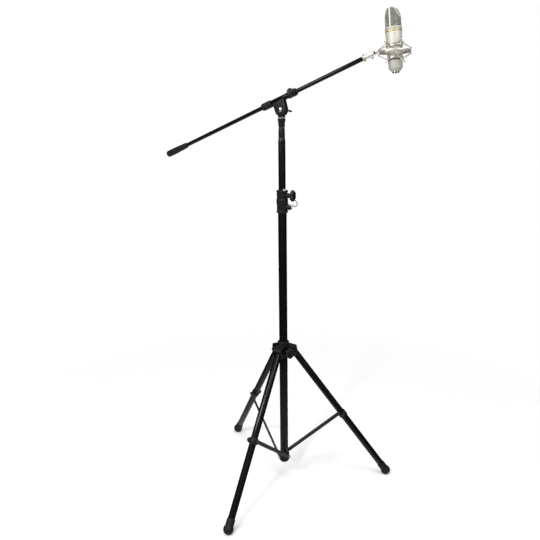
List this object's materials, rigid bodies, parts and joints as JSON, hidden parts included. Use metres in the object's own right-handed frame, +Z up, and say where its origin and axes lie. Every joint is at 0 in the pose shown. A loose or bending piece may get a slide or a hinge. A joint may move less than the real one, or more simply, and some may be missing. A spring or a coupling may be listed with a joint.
{
  "type": "microphone boom stand",
  "caption": "Folding tripod stand with a telescoping mast and tilting boom that holds a side-address microphone in an elastic shock mount.",
  "frame": {"origin": "centre of the flat underside of the mast's end plug, on the mast axis; the floor lies 74.5 mm below it", "axes": "+Z up the mast, +X the way the boom points seen from above, +Y to its left"},
  "size_m": [1.1153, 0.7437, 1.9089],
  "materials": {
    "black_paint": "semi-gloss black powder coat",
    "brace_paint": "satin charcoal paint",
    "charcoal_plastic": "matte moulded charcoal nylon",
    "knob_plastic": "satin moulded black plastic",
    "rubber": "matte black rubber",
    "bush_plastic": "pale grey slide bush plastic",
    "zinc": "bright zinc plating",
    "chrome": "polished chrome plating",
    "nickel": "bright warm nickel plating",
    "mic_satin": "satin champagne nickel",
    "mic_mesh": "woven wire mesh",
    "gold": "polished gold tone",
    "elastic": "light grey braided elastic",
    "cord_black": "black braided cord"
  },
  "bodies": {
    "mast_base": {"mast_end_plug": "rubber", "lower_tube": "black_paint", "spreader_collar": "charcoal_plastic", "brace_bolt_1": "zinc", "brace_bolt_2": "zinc", "brace_bolt_3": "zinc", "mast_clutch_housing": "charcoal_plastic", "mast_clutch_bush": "bush_plastic", "pin_lanyard": "cord_black"},
    "mast_knob": {"mast_clutch_knob": "knob_plastic"},
    "pull_pin": {"safety_pin": "zinc", "safety_pin_ring": "zinc"},
    "hub": {"hub_casting": "charcoal_plastic", "leg_pivot_bolt_1": "zinc", "leg_pivot_bolt_2": "zinc", "leg_pivot_bolt_3": "zinc"},
    "hub_knob": {"hub_lock_knob": "knob_plastic"},
    "leg_1": {"leg_tube_1": "black_paint", "leg_foot_1": "rubber", "leg_clip_1": "charcoal_plastic", "leg_clip_screw_1": "zinc"},
    "leg_2": {"leg_tube_2": "black_paint", "leg_foot_2": "rubber", "leg_clip_2": "charcoal_plastic", "leg_clip_screw_2": "zinc"},
    "leg_3": {"leg_tube_3": "black_paint", "leg_foot_3": "rubber", "leg_clip_3": "charcoal_plastic", "leg_clip_screw_3": "zinc"},
    "brace_bar_1": {"brace_1": "brace_paint"},
    "brace_bar_2": {"brace_2": "brace_paint"},
    "brace_bar_3": {"brace_3": "brace_paint"},
    "upper_mast": {"upper_tube": "black_paint", "tube_reducer": "black_paint", "base_sleeve": "black_paint", "swivel_cone": "charcoal_plastic"},
    "swivel": {"swivel_washer": "chrome", "swivel_knuckle": "charcoal_plastic"},
    "boom_head": {"boom_bracket": "charcoal_plastic", "tilt_pivot_bolt": "chrome", "boom_clamp_tube": "black_paint", "boom_rear_clutch": "charcoal_plastic", "boom_front_clutch": "charcoal_plastic"},
    "tilt_clamp": {"tilt_handle": "knob_plastic"},
    "boom_knob": {"boom_lock_knob": "knob_plastic"},
    "boom": {"boom_tube": "black_paint", "counterweight_grip": "rubber", "adapter_flange": "nickel", "adapter_fork": "nickel"},
    "thumb_screw": {"adapter_thumb_screw": "zinc"},
    "shock_mount": {"mount_outer_ring": "nickel", "mount_elastic_upper": "elastic", "mount_elastic_lower": "elastic", "mount_inner_cradle": "nickel", "mic_body": "mic_satin", "mic_gold_ring": "gold", "mic_head_frame": "mic_satin", "mic_grille": "mic_mesh", "mic_base_cap": "mic_satin", "mic_xlr_socket": "chrome"}
  },
  "joints": [
    {"name": "hub_slide", "type": "slide", "parent": "mast_base", "child": "hub", "axis": [0, 0, 1], "range_m": [0, 0.1876]},
    {"name": "leg_fold_1", "type": "hinge", "parent": "hub", "child": "leg_1", "pos_m": [0.04, 0.02653, 0.5166], "axis": [-0.5528, 0.8333, 0], "range_deg": [0, 35.37]},
    {"name": "leg_fold_2", "type": "hinge", "parent": "hub", "child": "leg_2", "pos_m": [-0.04298, 0.02137, 0.5166], "axis": [-0.4453, -0.8954, 0], "range_deg": [0, 35.37]},
    {"name": "leg_fold_3", "type": "hinge", "parent": "hub", "child": "leg_3", "pos_m": [0.00298, -0.04791, 0.5166], "axis": [0.9981, 0.0621, 0], "range_deg": [0, 35.37]},
    {"name": "brace_fold_1", "type": "hinge", "parent": "mast_base", "child": "brace_bar_1", "pos_m": [-0.0126, 0.019, 0.022], "axis": [-0.5528, 0.8333, 0], "range_deg": [-43.43, 0]},
    {"name": "brace_fold_2", "type": "hinge", "parent": "mast_base", "child": "brace_bar_2", "pos_m": [-0.01015, -0.02042, 0.022], "axis": [-0.4453, -0.8954, 0], "range_deg": [-43.43, 0]},
    {"name": "brace_fold_3", "type": "hinge", "parent": "mast_base", "child": "brace_bar_3", "pos_m": [0.02276, 0.00142, 0.022], "axis": [0.9981, 0.0621, 0], "range_deg": [-43.43, 0]},
    {"name": "mast_height", "type": "slide", "parent": "mast_base", "child": "upper_mast", "axis": [0, 0, 1], "range_m": [-0.17, 0.56]},
    {"name": "mast_knob_turn", "type": "hinge", "parent": "mast_base", "child": "mast_knob", "pos_m": [0.01741, 0.0037, 1.1816], "axis": [0.9781, 0.2079, 0], "range_deg": [0, 360]},
    {"name": "pin_pull", "type": "slide", "parent": "mast_base", "child": "pull_pin", "axis": [0.9303, 0.1977, -0.309], "range_m": [0, 0.02]},
    {"name": "hub_knob_turn", "type": "hinge", "parent": "hub", "child": "hub_knob", "pos_m": [0.01594, -0.00793, 0.526], "axis": [0.8954, -0.4453, 0], "range_deg": [0, 360]},
    {"name": "head_swivel", "type": "hinge", "parent": "upper_mast", "child": "swivel", "pos_m": [0, 0, 1.482], "axis": [0, 0, 1], "continuous": true},
    {"name": "boom_tilt", "type": "hinge", "parent": "swivel", "child": "boom_head", "pos_m": [0, 0, 1.5131], "axis": [0, -1, 0], "range_deg": [-75, 50]},
    {"name": "tilt_handle_turn", "type": "hinge", "parent": "boom_head", "child": "tilt_clamp", "pos_m": [0, 0.017, 1.5131], "axis": [0, 1, 0], "range_deg": [0, 360]},
    {"name": "boom_knob_turn", "type": "hinge", "parent": "boom_head", "child": "boom_knob", "pos_m": [0.05329, 0, 1.57373], "axis": [-0.0482, -0.9903, 0.1305], "range_deg": [0, 360]},
    {"name": "boom_slide", "type": "slide", "parent": "boom_head", "child": "boom", "axis": [0.938, 0, 0.3466], "range_m": [-0.27, 0.4]},
    {"name": "thumb_screw_turn", "type": "hinge", "parent": "boom", "child": "thumb_screw", "pos_m": [0.37034, 0, 1.69088], "axis": [0.3466, 0, -0.938], "range_deg": [0, 360]},
    {"name": "mount_tilt", "type": "hinge", "parent": "boom", "child": "shock_mount", "pos_m": [0.39144, 0, 1.69868], "axis": [0, 1, 0], "range_deg": [-60, 28]}
  ],
  "couplings": [
    {"joint": "leg_fold_1", "follows": "hub_slide", "rad_per_m": 3.289},
    {"joint": "leg_fold_2", "follows": "hub_slide", "rad_per_m": 3.289},
    {"joint": "leg_fold_3", "follows": "hub_slide", "rad_per_m": 3.289},
    {"joint": "brace_fold_1", "follows": "hub_slide", "rad_per_m": -4.038},
    {"joint": "brace_fold_2", "follows": "hub_slide", "rad_per_m": -4.038},
    {"joint": "brace_fold_3", "follows": "hub_slide", "rad_per_m": -4.038}
  ]
}
